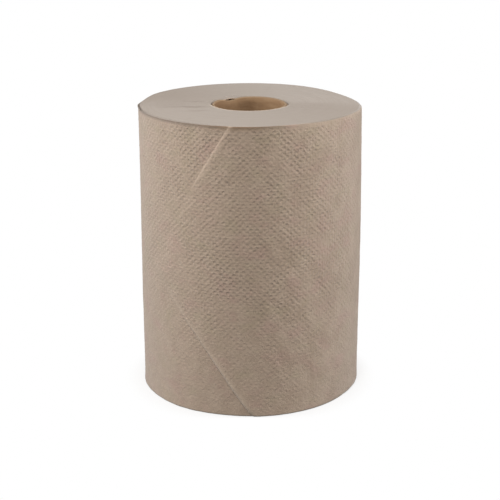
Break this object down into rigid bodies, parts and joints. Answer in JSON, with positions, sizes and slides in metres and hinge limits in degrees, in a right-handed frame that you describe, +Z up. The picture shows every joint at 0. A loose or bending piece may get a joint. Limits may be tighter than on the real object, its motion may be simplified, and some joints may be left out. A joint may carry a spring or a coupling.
{
  "type": "paper towel roll",
  "caption": "Upright hard-wound roll of brown embossed paper towel with a folded, pointed tail, on a paperboard core tube that slides over a dispenser spindle.",
  "frame": {"origin": "on the roll's axis, in the plane of its bottom end face", "axes": "+Z up along the roll's axis; -Y towards the front, where the folded tail lies; +X to the right"},
  "size_m": [0.1534, 0.1538, 0.2],
  "materials": {
    "kraft_paper": "matte, fibrous, embossed with a staggered dot pattern",
    "paperboard": "matte, spiral-wound plies"
  },
  "bodies": {
    "root": {"paper_roll": "kraft_paper", "core_tube": "paperboard"}
  },
  "joints": []
}
